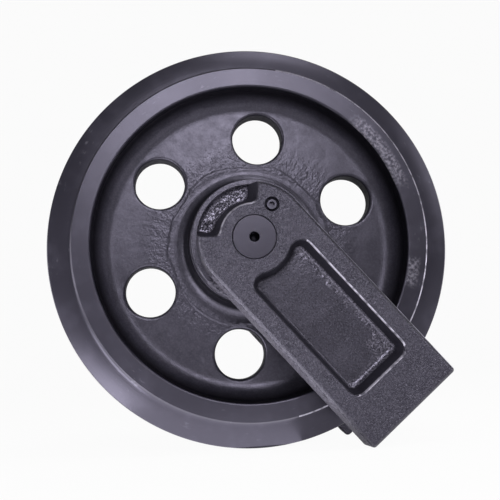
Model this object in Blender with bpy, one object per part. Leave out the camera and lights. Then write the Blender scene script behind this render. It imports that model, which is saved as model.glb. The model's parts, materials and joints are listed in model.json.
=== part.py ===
"""Front idler of a small crawler excavator.

A cast wheel with a centre flange turns on two flanged bushes around a fixed
shaft. A cast support bracket sits on each end of the shaft, held by a lock
pin. Floating face seals keep the oil in the hub.

The idler is modelled with the wheel's axis along local Z, the near side at
+Z and the bracket arms along local +X. One empty then stands it up, so that
it rests on its flange and on the lower corners of both arms.
"""
import math

import bmesh
import bpy
from mathutils import Matrix, Vector

MM = 0.001

# Gaps between pieces
SEAT = 0.3 * MM
RUNNING = 0.3 * MM
LABYRINTH = 1.5 * MM

# Wheel: rim, flange and web
FLANGE_RADIUS = 200 * MM
FLANGE_TIP_HALF_WIDTH = 10 * MM
FLANGE_TIP_BEVEL = 1.5 * MM
FLANGE_SHOULDER_DEPTH = 13 * MM
FLANGE_SHOULDER_SPREAD = 3.5 * MM
FLANGE_ROOT_SPREAD = 1.5 * MM
FLANGE_ROOT_FILLET = 5 * MM
TREAD_HEIGHT = 26 * MM
RIM_HALF_WIDTH = 42 * MM
RIM_EDGE_BEVEL = 1.5 * MM
RIM_WALL = 19.5 * MM
RIM_INNER_DRAFT = 3.5 * MM
RIM_INNER_FILLET = 14 * MM
RIM_LIP_ROUND = 2 * MM
WEB_HALF_THICKNESS = 13.5 * MM

# Wheel: web holes
HOLE_COUNT = 6
HUB_TO_HOLE = 22.6 * MM
HOLE_TO_RIM = 18.1 * MM
HOLE_EDGE_ROUND = 3 * MM
HOLE_FLARE_RISE = 1 * MM
HOLE_LEAD_ANGLE = math.radians(12.4)

# Wheel: hub
LIP_WALL = 4.2 * MM
NOSE_WALL = 9 * MM
GROOVE_DEPTH = 6.5 * MM
HUB_DRAFT = 1.5 * MM
HUB_FILLET = 14 * MM
RESERVOIR_HALF_LENGTH = 9.5 * MM
RESERVOIR_DEPTH = 3.5 * MM

# Shaft
SHAFT_RADIUS = 20 * MM
SHAFT_PROUD = 0.6 * MM
SHAFT_END_BEVEL = 0.6 * MM
CENTRE_HOLE_RADIUS = 4.6 * MM
CENTRE_HOLE_DEPTH = 14 * MM
CENTRE_HOLE_CONE = 5 * MM

# Bushes
BUSH_WALL = 3 * MM
BUSH_FLANGE_WIDTH = 4 * MM
BUSH_FLANGE_THICKNESS = 3 * MM

# Face seals
RIM_TO_SEAL_PLANE = 2 * MM
SEAL_RING_CLEARANCE = 1.2 * MM
SEAL_FACE_WIDTH = 8 * MM
SEAL_FACE_THICKNESS = 2.8 * MM
SEAL_TAIL_WALL = 3 * MM
SEAL_RAMP_RISE = 0.8 * MM
SEAL_RING_LENGTH = 10.5 * MM
TORIC_SECTION_RADIUS = 3.6 * MM
TORIC_STANDOFF = 7 * MM
HOUSING_CONE_ANGLE = math.radians(52)

# Rubber ring on the shaft in each bracket
SHAFT_RING_SECTION_RADIUS = 1.1 * MM
SHAFT_RING_DEPTH = 8.5 * MM

# Brackets: casting
RIM_TO_BRACKET = 13.5 * MM
BRACKET_DEPTH = 42 * MM
BRACKET_HALF_WIDTH = 52 * MM
ARM_BEYOND_FLANGE = 15.2 * MM
BRACKET_CORNER_RADIUS = 3 * MM
BRACKET_DRAFT = 1.5 * MM
BRACKET_FACE_ROUND = 4.4 * MM
BRACKET_BACK_BEVEL = 1.4 * MM
BORE_MOUTH_BEVEL = 0.6 * MM
BOSS_WALL = 7 * MM
SPIGOT_WALL = 3.5 * MM
DISC_INSET = 1 * MM
DISC_RISE = 15.5 * MM
DISC_BEVEL = 1.2 * MM

# Brackets: long recess in the arm
POCKET_START = 29 * MM
POCKET_END_LAND = 43.9 * MM
POCKET_HALF_WIDTH = 33.2 * MM
POCKET_CORNER_RADIUS = 10 * MM
POCKET_FLOOR_CORNER_RADIUS = 5.5 * MM
POCKET_BOSS_RADIUS = 34.6 * MM
POCKET_DEPTH = 22 * MM
POCKET_WALL_SLOPE = 4.6 * MM
POCKET_END_LEAN = 1.25
POCKET_FLOOR_FILLET = 3 * MM

# Brackets: kidney recess in the head
KIDNEY_INNER_RADIUS = 32.3 * MM
KIDNEY_HALF_SWEEP = math.radians(46.5)
KIDNEY_CORNER_RADIUS = 7 * MM
KIDNEY_RIM_WALL = 4.8 * MM
KIDNEY_DEPTH = 35.5 * MM
KIDNEY_WALL_SLOPE = 6 * MM
KIDNEY_FLOOR_FILLET = 2 * MM
RECESS_LIP_BEVEL = 1 * MM

# Lock pins, each across the arm with its side in a notch of the shaft
PIN_RADIUS = 5 * MM
PIN_BITE = 4 * MM
PIN_REACH = 13 * MM
PIN_DEPTH = 17.5 * MM
PIN_RECESS = 4 * MM
PIN_BEVEL = 0.8 * MM

# Oil plugs
PLUG_RADIUS = 4.9 * MM
PLUG_LENGTH = 12 * MM
PLUG_RECESS = 1 * MM
PLUG_BEVEL = 0.5 * MM
PLUG_SOCKET_ACROSS_FLATS = 5 * MM
PLUG_SOCKET_DEPTH = 5 * MM
PLUG_COUNTERBORE_RADIUS = 7 * MM
PLUG_COUNTERBORE_DEPTH = 3.5 * MM
PLUG_ORBIT = 34.3 * MM
PLUG_ANGLE = math.radians(109)
OIL_WAY_RADIUS = 1.8 * MM

# Facets of the round pieces
WHEEL_SEGMENTS = 48
HOLE_SEGMENTS = 18
HOLE_EDGE_STEPS = 2
SHAFT_SEGMENTS = 28
BUSH_SEGMENTS = 24
SEAL_SEGMENTS = 20
TORIC_SECTION_SEGMENTS = 6
SHAFT_RING_SECTION_SEGMENTS = 5
PIN_SEGMENTS = 14
HEAD_ARC_STEPS = 16
FACE_ROUND_STEPS = 2
KIDNEY_ARC_STEPS = 10
FILLET_STEPS = 3
CUT_MARGIN = 3 * MM
MERGE_DISTANCE = 0.01 * MM
FILLET_SHARE = 0.8
CORNER_RADIUS_LEAST = 1 * MM
SHARP_ANGLE = math.radians(32)

# Radii that follow, from the shaft outwards
bush_inner_radius = SHAFT_RADIUS + RUNNING
bush_outer_radius = bush_inner_radius + BUSH_WALL
bush_flange_radius = bush_outer_radius + BUSH_FLANGE_WIDTH
hub_bore_radius = bush_outer_radius + SEAT
bracket_bore_radius = SHAFT_RADIUS + SEAT
shaft_ring_radius = bracket_bore_radius - SEAT - SHAFT_RING_SECTION_RADIUS
shaft_groove_radius = shaft_ring_radius - SHAFT_RING_SECTION_RADIUS - SEAT
boss_radius = bracket_bore_radius + BOSS_WALL
seal_inner_radius = max(boss_radius, bush_flange_radius) + SEAL_RING_CLEARANCE
seal_face_radius = seal_inner_radius + SEAL_FACE_WIDTH
seal_tail_radius = seal_inner_radius + SEAL_TAIL_WALL
toric_radius = seal_tail_radius + SEAT + TORIC_SECTION_RADIUS
housing_radius = toric_radius + TORIC_SECTION_RADIUS + SEAT
nose_radius = housing_radius + NOSE_WALL
spigot_inner_radius = nose_radius + LABYRINTH
spigot_outer_radius = spigot_inner_radius + SPIGOT_WALL
lip_inner_radius = spigot_outer_radius + LABYRINTH
lip_outer_radius = lip_inner_radius + LIP_WALL
disc_radius = lip_outer_radius - DISC_INSET
tread_radius = FLANGE_RADIUS - TREAD_HEIGHT
rim_inner_radius = tread_radius - RIM_WALL
hub_foot_radius = lip_outer_radius + HUB_DRAFT
rim_foot_radius = rim_inner_radius - RIM_INNER_DRAFT
web_width = rim_foot_radius - hub_foot_radius
hole_radius = (web_width - HUB_TO_HOLE - HOLE_TO_RIM) / 2
hole_pitch_radius = hub_foot_radius + HUB_TO_HOLE + hole_radius

# Stations that follow, along the axis from the wheel's middle plane
seal_plane = RIM_HALF_WIDTH - RIM_TO_SEAL_PLANE
labyrinth_floor = seal_plane - LABYRINTH / 2
labyrinth_roof = seal_plane + LABYRINTH / 2
groove_floor = labyrinth_floor - GROOVE_DEPTH
spigot_end = groove_floor + LABYRINTH
seal_face_station = seal_plane + RUNNING / 2
toric_station = seal_face_station + TORIC_STANDOFF
cone_reach = TORIC_SECTION_RADIUS + SEAT
cone_start = toric_station + cone_reach * math.tan(HOUSING_CONE_ANGLE / 2)
housing_floor = toric_station + cone_reach / math.sin(HOUSING_CONE_ANGLE)
hub_floor = 2 * seal_plane - housing_floor
hub_cone_start = 2 * seal_plane - cone_start
bush_seat = hub_floor + SEAT
bush_flange_face = bush_seat + BUSH_FLANGE_THICKNESS
boss_end = bush_flange_face + RUNNING
bracket_back = RIM_HALF_WIDTH + RIM_TO_BRACKET
bracket_face = bracket_back + BRACKET_DEPTH
shaft_half_length = bracket_face + SHAFT_PROUD
shaft_ring_station = bracket_back + SHAFT_RING_DEPTH
disc_top = bracket_back + DISC_RISE
plug_top = bracket_face - PLUG_RECESS
plug_end = plug_top - PLUG_LENGTH
pin_station = bracket_face - PIN_DEPTH

# Places that follow, along and across the arm
bracket_length = FLANGE_RADIUS + ARM_BEYOND_FLANGE
pocket_end = bracket_length - POCKET_END_LAND
draft_per_depth = BRACKET_DRAFT / BRACKET_DEPTH
pin_offset = SHAFT_RADIUS - PIN_BITE + PIN_RADIUS

# The arms' lower corners touch the floor when the wheel's flange does
contact_spread = draft_per_depth * (BRACKET_DEPTH - BRACKET_BACK_BEVEL)
contact_radius = BRACKET_CORNER_RADIUS + contact_spread
contact_along = bracket_length - BRACKET_CORNER_RADIUS
contact_across = BRACKET_HALF_WIDTH - BRACKET_CORNER_RADIUS
contact_swing = math.hypot(contact_along, contact_across)
contact_drop = math.asin((FLANGE_RADIUS - contact_radius) / contact_swing)
arm_drop = contact_drop - math.atan2(contact_across, contact_along)
floor_angle = arm_drop - math.pi / 2

# Colours, as red, green and blue
BLACK_PAINT = (0.028, 0.027, 0.033)
MACHINED_STEEL = (0.36, 0.36, 0.38)
HARD_STEEL = (0.22, 0.22, 0.24)
BRONZE = (0.42, 0.27, 0.10)
RUBBER = (0.012, 0.012, 0.013)


def clear_scene():
    for item in list(bpy.data.objects):
        bpy.data.objects.remove(item, do_unlink=True)


def make_material(name, colour, roughness, metallic):
    material = bpy.data.materials.new(name)
    material.use_nodes = True
    shader = material.node_tree.nodes["Principled BSDF"]
    shader.inputs["Base Color"].default_value = (*colour, 1)
    shader.inputs["Roughness"].default_value = roughness
    shader.inputs["Metallic"].default_value = metallic
    return material


def link_mesh(name, mesh):
    item = bpy.data.objects.new(name, mesh)
    bpy.context.collection.objects.link(item)
    return item


def add_object(name, builder):
    bmesh.ops.remove_doubles(builder, verts=builder.verts, dist=MERGE_DISTANCE)
    bmesh.ops.recalc_face_normals(builder, faces=builder.faces)
    mesh = bpy.data.meshes.new(name)
    builder.to_mesh(mesh)
    builder.free()
    return link_mesh(name, mesh)


def arc(centre_x, centre_y, radius, start, end, steps):
    """Points of an arc, both ends included."""
    points = []
    for step in range(steps + 1):
        angle = start + (end - start) * step / steps
        x = centre_x + radius * math.cos(angle)
        y = centre_y + radius * math.sin(angle)
        points.append((x, y))
    return points


def rounded(corners, closed=True):
    """An outline from (x, y, radius) corners, where a radius rounds its corner."""
    points = []
    for index, (x, y, radius) in enumerate(corners):
        at_end = index in (0, len(corners) - 1)
        if radius == 0 or (at_end and not closed):
            points.append((x, y))
            continue
        corner = Vector((x, y))
        before = Vector(corners[index - 1][:2]) - corner
        after = Vector(corners[(index + 1) % len(corners)][:2]) - corner
        half_angle = before.angle(after) / 2
        room = FILLET_SHARE * min(before.length, after.length)
        radius = min(radius, room * math.tan(half_angle))
        before.normalize()
        after.normalize()
        centre = corner + (before + after).normalized() * radius / math.sin(half_angle)
        first = corner + before * radius / math.tan(half_angle) - centre
        last = corner + after * radius / math.tan(half_angle) - centre
        start = math.atan2(first.y, first.x)
        end = start - first.angle_signed(last)
        points += arc(centre.x, centre.y, radius, start, end, FILLET_STEPS)
    return points


def spun(name, points, segments, closed):
    """Turn (radius, height) points about Z. An open line starts and ends on the axis."""
    builder = bmesh.new()
    verts = [builder.verts.new((radius, 0, height)) for radius, height in points]
    edges = [builder.edges.new(pair) for pair in zip(verts, verts[1:])]
    if closed:
        edges.append(builder.edges.new((verts[-1], verts[0])))
    bmesh.ops.spin(
        builder,
        geom=verts + edges,
        cent=(0, 0, 0),
        axis=(0, 0, 1),
        angle=2 * math.pi,
        steps=segments,
        use_merge=True,
    )
    return add_object(name, builder)


def turned_ring(name, points, segments):
    return spun(name, points, segments, True)


def turned_solid(name, points, segments):
    return spun(name, points, segments, False)


def lofted(name, levels):
    """A solid through (height, outline) levels with equal numbers of points."""
    builder = bmesh.new()
    rings = []
    for height, outline in levels:
        rings.append([builder.verts.new((x, y, height)) for x, y in outline])
    for lower, upper in zip(rings, rings[1:]):
        for index in range(len(lower)):
            side = (lower[index - 1], lower[index], upper[index], upper[index - 1])
            builder.faces.new(side)
    builder.faces.new(rings[0])
    builder.faces.new(rings[-1])
    return add_object(name, builder)


def combine(item, tool, operation):
    """Join a tool to an item, or cut it out, then remove the tool."""
    modifier = item.modifiers.new("combine", "BOOLEAN")
    modifier.operation = operation
    modifier.solver = "EXACT"
    modifier.object = tool
    depsgraph = bpy.context.evaluated_depsgraph_get()
    result = bpy.data.meshes.new_from_object(item.evaluated_get(depsgraph))
    item.modifiers.clear()
    item.data = result
    bpy.data.objects.remove(tool, do_unlink=True)


def finish(item, material):
    item.data.materials.clear()
    item.data.materials.append(material)
    item.data.shade_smooth()
    item.data.set_sharp_from_angle(angle=SHARP_ANGLE)
    return item


def mirrored_copy(name, source):
    """The same piece on the far side of the wheel's middle plane."""
    mesh = source.data.copy()
    mesh.transform(Matrix.Scale(-1, 4, (0, 0, 1)))
    mesh.flip_normals()
    return link_mesh(name, mesh)


def mirrored_outline(half):
    """The far half of a profile, then the near half, in one line."""
    far_half = [(radius, -height) for radius, height in reversed(half)]
    return far_half + half


def wheel_half_profile():
    """Half of the wheel's section, from the hub's bore out to the flange's tip."""
    reservoir_radius = hub_bore_radius + RESERVOIR_DEPTH
    shoulder_radius = FLANGE_RADIUS - FLANGE_SHOULDER_DEPTH
    shoulder_half_width = FLANGE_TIP_HALF_WIDTH + FLANGE_SHOULDER_SPREAD
    root_half_width = shoulder_half_width + FLANGE_ROOT_SPREAD
    corners = [
        (reservoir_radius, RESERVOIR_HALF_LENGTH, 0),
        (hub_bore_radius, RESERVOIR_HALF_LENGTH, 0),
        (hub_bore_radius, hub_floor, 0),
        (toric_radius, hub_floor, 0),
        (housing_radius, hub_cone_start, 0),
        (housing_radius, labyrinth_floor, 0),
        (nose_radius, labyrinth_floor, 0),
        (nose_radius, groove_floor, 0),
        (lip_inner_radius, groove_floor, 0),
        (lip_inner_radius, labyrinth_floor, 0),
        (lip_outer_radius, labyrinth_floor, 0),
        (hub_foot_radius, WEB_HALF_THICKNESS, HUB_FILLET),
        (rim_foot_radius, WEB_HALF_THICKNESS, RIM_INNER_FILLET),
        (rim_inner_radius, RIM_HALF_WIDTH - RIM_LIP_ROUND, 0),
        (rim_inner_radius + RIM_LIP_ROUND, RIM_HALF_WIDTH, 0),
        (tread_radius - RIM_EDGE_BEVEL, RIM_HALF_WIDTH, 0),
        (tread_radius, RIM_HALF_WIDTH - RIM_EDGE_BEVEL, 0),
        (tread_radius, root_half_width, FLANGE_ROOT_FILLET),
        (shoulder_radius, shoulder_half_width, 0),
        (FLANGE_RADIUS - FLANGE_TIP_BEVEL, FLANGE_TIP_HALF_WIDTH, 0),
        (FLANGE_RADIUS, FLANGE_TIP_HALF_WIDTH - FLANGE_TIP_BEVEL, 0),
    ]
    return rounded(corners, closed=False)


def hole_half_profile():
    """Half of a web hole's cutter, which flares to round the hole's edge."""
    centre = hole_radius + HOLE_EDGE_ROUND
    round_start = WEB_HALF_THICKNESS - HOLE_EDGE_ROUND
    edge = arc(centre, round_start, HOLE_EDGE_ROUND, math.pi, math.pi / 2, HOLE_EDGE_STEPS)
    flare_radius, flare_height = edge.pop()
    before_radius, before_height = edge[-1]
    flare_slope = (flare_radius - before_radius) / (flare_height - before_height)
    top = flare_height + HOLE_FLARE_RISE
    return edge + [(flare_radius + flare_slope * HOLE_FLARE_RISE, top), (0, top)]


def make_idler_wheel():
    wheel = turned_ring("idler_wheel", mirrored_outline(wheel_half_profile()), WHEEL_SEGMENTS)
    wheel.data.transform(Matrix.Rotation(floor_angle, 4, "Z"))
    for number in range(HOLE_COUNT):
        angle = HOLE_LEAD_ANGLE + 2 * math.pi * number / HOLE_COUNT
        place = Vector((math.cos(angle), math.sin(angle), 0)) * hole_pitch_radius
        cutter = turned_solid("hole_cutter", mirrored_outline(hole_half_profile()), HOLE_SEGMENTS)
        cutter.data.transform(Matrix.Translation(place))
        combine(wheel, cutter, "DIFFERENCE")
    return wheel


def across_arm(name, radius, start, end, bevel):
    """A round bar across the near arm, at the lock pin's place."""
    profile = [
        (0, start),
        (radius - bevel, start),
        (radius, start + bevel),
        (radius, end - bevel),
        (radius - bevel, end),
        (0, end),
    ]
    bar = turned_solid(name, profile, PIN_SEGMENTS)
    lay_across = Matrix.Rotation(-math.pi / 2, 4, "X")
    bar.data.transform(Matrix.Translation((pin_offset, 0, pin_station)) @ lay_across)
    return bar


def make_lock_pin():
    mouth = BRACKET_HALF_WIDTH - PIN_RECESS
    return across_arm("lock_pin_near", PIN_RADIUS, -PIN_REACH, mouth, PIN_BEVEL)


def pin_cutter():
    """The pin's hole, blind at its far end and open at the arm's side."""
    mouth = BRACKET_HALF_WIDTH + BRACKET_DRAFT + CUT_MARGIN
    return across_arm("pin_cutter", PIN_RADIUS + SEAT, -PIN_REACH - SEAT, mouth, PIN_BEVEL)


def make_shaft():
    groove_half = SHAFT_RING_SECTION_RADIUS + SEAT
    half = [
        (SHAFT_RADIUS, shaft_ring_station - groove_half),
        (shaft_groove_radius, shaft_ring_station - groove_half),
        (shaft_groove_radius, shaft_ring_station + groove_half),
        (SHAFT_RADIUS, shaft_ring_station + groove_half),
        (SHAFT_RADIUS, shaft_half_length - SHAFT_END_BEVEL),
        (SHAFT_RADIUS - SHAFT_END_BEVEL, shaft_half_length),
        (CENTRE_HOLE_RADIUS, shaft_half_length),
        (CENTRE_HOLE_RADIUS, shaft_half_length - CENTRE_HOLE_DEPTH),
        (0, shaft_half_length - CENTRE_HOLE_DEPTH - CENTRE_HOLE_CONE),
    ]
    shaft = turned_solid("shaft", mirrored_outline(half), SHAFT_SEGMENTS)
    near_notch = pin_cutter()
    far_notch = mirrored_copy("far_notch", near_notch)
    combine(shaft, near_notch, "DIFFERENCE")
    combine(shaft, far_notch, "DIFFERENCE")
    return shaft


def make_bush():
    profile = [
        (bush_inner_radius, RESERVOIR_HALF_LENGTH),
        (bush_outer_radius, RESERVOIR_HALF_LENGTH),
        (bush_outer_radius, bush_seat),
        (bush_flange_radius, bush_seat),
        (bush_flange_radius, bush_flange_face),
        (bush_inner_radius, bush_flange_face),
    ]
    return turned_ring("bush_near", profile, BUSH_SEGMENTS)


def make_seal_ring():
    """The metal ring in the bracket, with its sealing face towards the wheel."""
    shoulder = seal_face_station + SEAL_FACE_THICKNESS
    profile = [
        (seal_inner_radius, seal_face_station),
        (seal_face_radius, seal_face_station),
        (seal_face_radius, shoulder),
        (seal_tail_radius, shoulder + SEAL_RAMP_RISE),
        (seal_tail_radius, seal_face_station + SEAL_RING_LENGTH),
        (seal_inner_radius, seal_face_station + SEAL_RING_LENGTH),
    ]
    return turned_ring("fixed_seal_ring_near", profile, SEAL_SEGMENTS)


def rubber_ring(name, radius, section_radius, station, section_segments):
    turn = 2 * math.pi
    section = arc(radius, station, section_radius, 0, turn, section_segments)[:-1]
    return turned_ring(name, section, SEAL_SEGMENTS)


def across_seal_plane(name, source):
    """The turning half of a face seal, a mirror image in the sealing plane."""
    item = mirrored_copy(name, source)
    item.data.transform(Matrix.Translation((0, 0, 2 * seal_plane)))
    return item


def block_outline(inset):
    """The bracket's outline: a round head and a straight arm."""
    half_width = BRACKET_HALF_WIDTH - inset
    end = bracket_length - inset
    corner = max(BRACKET_CORNER_RADIUS - inset, CORNER_RADIUS_LEAST)
    quarter = math.pi / 2
    points = arc(0, 0, half_width, quarter, 3 * quarter, HEAD_ARC_STEPS)
    points += arc(end - corner, corner - half_width, corner, -quarter, 0, FILLET_STEPS)
    points += arc(end - corner, half_width - corner, corner, 0, quarter, FILLET_STEPS)
    return points


def make_bracket_block():
    """The arm and head, wider at the back by the draft, with a rounded outer edge."""
    levels = [
        (bracket_back, block_outline(BRACKET_BACK_BEVEL - BRACKET_DRAFT)),
        (bracket_back + BRACKET_BACK_BEVEL, block_outline(-contact_spread)),
    ]
    for step in range(FACE_ROUND_STEPS + 1):
        turn = math.pi / 2 * step / FACE_ROUND_STEPS
        drop = BRACKET_FACE_ROUND * (1 - math.sin(turn))
        inset = BRACKET_FACE_ROUND * (1 - math.cos(turn))
        levels.append((bracket_face - drop, block_outline(inset - draft_per_depth * drop)))
    return lofted("bracket_near", levels)


def make_seal_housing():
    """The round back of the bracket: disc, labyrinth spigot, seal bore and boss."""
    core = SHAFT_RADIUS / 2
    profile = [
        (core, boss_end),
        (boss_radius, boss_end),
        (boss_radius, housing_floor),
        (toric_radius, housing_floor),
        (housing_radius, cone_start),
        (housing_radius, labyrinth_roof),
        (spigot_inner_radius, labyrinth_roof),
        (spigot_inner_radius, spigot_end),
        (spigot_outer_radius, spigot_end),
        (spigot_outer_radius, labyrinth_roof),
        (disc_radius, labyrinth_roof),
        (disc_radius, disc_top - DISC_BEVEL),
        (disc_radius - DISC_BEVEL, disc_top),
        (core, disc_top),
    ]
    return turned_ring("seal_housing", profile, SHAFT_SEGMENTS)


def recess_levels(outline, depth, slope, fillet):
    """Levels of a cast recess: a filleted floor, sloping walls and a bevelled lip."""
    floor = bracket_face - depth
    wall_foot = slope * (depth - fillet) / depth
    return [
        (floor, outline(wall_foot + fillet)),
        (floor + fillet, outline(wall_foot)),
        (bracket_face - RECESS_LIP_BEVEL, outline(0)),
        (bracket_face + CUT_MARGIN, outline(-RECESS_LIP_BEVEL - CUT_MARGIN)),
    ]


def pocket_outline(inset):
    half_width = POCKET_HALF_WIDTH - inset
    corner = max(POCKET_CORNER_RADIUS - inset, POCKET_FLOOR_CORNER_RADIUS)
    start = POCKET_START + inset
    end = pocket_end - inset * POCKET_END_LEAN
    corners = [
        (start, -half_width, corner),
        (end, -half_width, corner),
        (end, half_width, corner),
        (start, half_width, corner),
    ]
    return rounded(corners)


def round_boss_outline(inset):
    turn = 2 * math.pi
    return arc(0, 0, POCKET_BOSS_RADIUS + inset, 0, turn, SHAFT_SEGMENTS)[:-1]


def pocket_cutter():
    """The arm's long recess, which stops at the round boss about the shaft."""
    shape = (POCKET_DEPTH, POCKET_WALL_SLOPE, POCKET_FLOOR_FILLET)
    cutter = lofted("pocket_cutter", recess_levels(pocket_outline, *shape))
    boss_levels = recess_levels(round_boss_outline, *shape)
    below_floor = boss_levels[0][0] - CUT_MARGIN
    above_face = boss_levels[-1][0] + CUT_MARGIN
    boss_levels.insert(0, (below_floor, boss_levels[0][1]))
    boss_levels.append((above_face, boss_levels[-1][1]))
    combine(cutter, lofted("boss", boss_levels), "DIFFERENCE")
    return cutter


def kidney_outline(inset):
    """A ring sector opposite the arm, with rounded inner corners."""
    depth_to_disc = bracket_face - disc_top
    spread_at_disc = KIDNEY_WALL_SLOPE * depth_to_disc / KIDNEY_DEPTH
    inner = KIDNEY_INNER_RADIUS + inset
    outer = disc_radius - KIDNEY_RIM_WALL + spread_at_disc - inset
    sweep = KIDNEY_HALF_SWEEP - inset / inner
    orbit = inner + KIDNEY_CORNER_RADIUS
    lean = math.asin(KIDNEY_CORNER_RADIUS / orbit)
    first = math.pi - sweep
    last = math.pi + sweep
    quarter = math.pi / 2
    points = []
    for middle, start in ((first + lean, first - quarter), (last - lean, last - lean + math.pi)):
        x = orbit * math.cos(middle)
        y = orbit * math.sin(middle)
        end = start - quarter + lean
        points += arc(x, y, KIDNEY_CORNER_RADIUS, start, end, FILLET_STEPS)
        if middle == first + lean:
            points += arc(0, 0, inner, first + lean, last - lean, KIDNEY_ARC_STEPS)[1:-1]
    points += arc(0, 0, outer, last, first, KIDNEY_ARC_STEPS)
    return points


def kidney_cutter():
    levels = recess_levels(kidney_outline, KIDNEY_DEPTH, KIDNEY_WALL_SLOPE, KIDNEY_FLOOR_FILLET)
    return lofted("kidney_cutter", levels)


def bore_cutter():
    top = bracket_face + CUT_MARGIN
    bottom = boss_end - CUT_MARGIN
    mouth_radius = bracket_bore_radius + BORE_MOUTH_BEVEL + CUT_MARGIN
    profile = [
        (0, bottom),
        (bracket_bore_radius, bottom),
        (bracket_bore_radius, bracket_face - BORE_MOUTH_BEVEL),
        (mouth_radius, top),
        (0, top),
    ]
    return turned_solid("bore_cutter", profile, SHAFT_SEGMENTS)


def plug_place():
    return Vector((math.cos(PLUG_ANGLE), math.sin(PLUG_ANGLE), 0)) * PLUG_ORBIT


def plug_hole_cutter():
    bore = PLUG_RADIUS + SEAT
    counterbore_floor = bracket_face - PLUG_COUNTERBORE_DEPTH
    top = bracket_face + CUT_MARGIN
    profile = [
        (0, plug_end - SEAT),
        (bore, plug_end - SEAT),
        (bore, counterbore_floor),
        (PLUG_COUNTERBORE_RADIUS, counterbore_floor),
        (PLUG_COUNTERBORE_RADIUS, top),
        (0, top),
    ]
    cutter = turned_solid("plug_hole_cutter", profile, PIN_SEGMENTS)
    cutter.data.transform(Matrix.Translation(plug_place()))
    return cutter


def oil_way_cutter():
    """A drilling that slants from the plug's hole to the inside of the seal ring."""
    gap_middle = (boss_radius + seal_tail_radius) / 2
    mouth = plug_place().normalized() * gap_middle + Vector((0, 0, housing_floor))
    root = plug_place() + Vector((0, 0, plug_end))
    along = mouth - root
    reach = along.length + OIL_WAY_RADIUS
    profile = [
        (0, -OIL_WAY_RADIUS),
        (OIL_WAY_RADIUS, -OIL_WAY_RADIUS),
        (OIL_WAY_RADIUS, reach),
        (0, reach),
    ]
    cutter = turned_solid("oil_way_cutter", profile, PIN_SEGMENTS)
    slant = along.to_track_quat("Z", "Y").to_matrix().to_4x4()
    cutter.data.transform(Matrix.Translation(root) @ slant)
    return cutter


def make_bracket():
    bracket = make_bracket_block()
    combine(bracket, make_seal_housing(), "UNION")
    for cutter in (
        bore_cutter(),
        pocket_cutter(),
        kidney_cutter(),
        plug_hole_cutter(),
        oil_way_cutter(),
        pin_cutter(),
    ):
        combine(bracket, cutter, "DIFFERENCE")
    return bracket


def make_oil_plug():
    profile = [
        (0, plug_end),
        (PLUG_RADIUS - PLUG_BEVEL, plug_end),
        (PLUG_RADIUS, plug_end + PLUG_BEVEL),
        (PLUG_RADIUS, plug_top - PLUG_BEVEL),
        (PLUG_RADIUS - PLUG_BEVEL, plug_top),
        (0, plug_top),
    ]
    plug = turned_solid("oil_plug_near", profile, PIN_SEGMENTS)
    socket_radius = PLUG_SOCKET_ACROSS_FLATS / math.sqrt(3)
    socket_floor = plug_top - PLUG_SOCKET_DEPTH
    hexagon = arc(0, 0, socket_radius, 0, 2 * math.pi, 6)[:-1]
    levels = [(socket_floor, hexagon), (plug_top + CUT_MARGIN, hexagon)]
    combine(plug, lofted("socket_cutter", levels), "DIFFERENCE")
    plug.data.transform(Matrix.Translation(plug_place()))
    return plug


def add_empty(name, parent=None):
    empty = bpy.data.objects.new(name, None)
    bpy.context.collection.objects.link(empty)
    empty.parent = parent
    return empty


def place_all(items, parent):
    for item in items:
        item.parent = parent


def build_idler():
    paint = make_material("black_paint", BLACK_PAINT, 0.45, 0.0)
    steel = make_material("machined_steel", MACHINED_STEEL, 0.35, 1.0)
    hard_steel = make_material("hard_steel", HARD_STEEL, 0.3, 1.0)
    bronze = make_material("bronze", BRONZE, 0.35, 1.0)
    rubber = make_material("rubber", RUBBER, 0.7, 0.0)

    stand = add_empty("stand")
    stand.location = (0, 0, FLANGE_RADIUS)
    tilt_arm = Matrix.Rotation(arm_drop, 3, "Y")
    raise_axis = Matrix.Rotation(math.pi / 2, 3, "X")
    stand.rotation_euler = (tilt_arm @ raise_axis).to_euler()
    wheel_axis = add_empty("wheel_axis", stand)

    wheel = finish(make_idler_wheel(), paint)
    bush = finish(make_bush(), bronze)
    shaft = finish(make_shaft(), steel)
    bracket = finish(make_bracket(), paint)
    pin = finish(make_lock_pin(), hard_steel)
    plug = finish(make_oil_plug(), hard_steel)
    seal_ring = finish(make_seal_ring(), hard_steel)
    toric_size = (toric_radius, TORIC_SECTION_RADIUS, toric_station, TORIC_SECTION_SEGMENTS)
    toric = finish(rubber_ring("fixed_toric_near", *toric_size), rubber)
    ring_size = (
        shaft_ring_radius,
        SHAFT_RING_SECTION_RADIUS,
        shaft_ring_station,
        SHAFT_RING_SECTION_SEGMENTS,
    )
    shaft_ring = finish(rubber_ring("shaft_oring_near", *ring_size), rubber)

    turning_seal_ring = across_seal_plane("turning_seal_ring_near", seal_ring)
    turning_toric = across_seal_plane("turning_toric_near", toric)
    fixed_near = [bracket, pin, plug, seal_ring, toric, shaft_ring]
    turning_near = [bush, turning_seal_ring, turning_toric]
    fixed_far = [mirrored_copy(item.name.replace("near", "far"), item) for item in fixed_near]
    turning_far = [mirrored_copy(item.name.replace("near", "far"), item) for item in turning_near]
    place_all([shaft] + fixed_near + fixed_far, stand)
    place_all([wheel] + turning_near + turning_far, wheel_axis)


clear_scene()
build_idler()
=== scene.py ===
"""Looks of a crawler excavator's front idler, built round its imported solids.

The castings, the shaft, the plugs and the pins are remade with fine curves,
cast unevenness and painted or machined surfaces. Each is modelled with the
wheel's axis along its own Z, the near side at +Z and the arms along +X, and
is then stood up as the solids stand. The pieces inside keep their solids.
"""
import json
import math

import bmesh
import bpy
from mathutils import Matrix, Quaternion, Vector, noise


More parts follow.
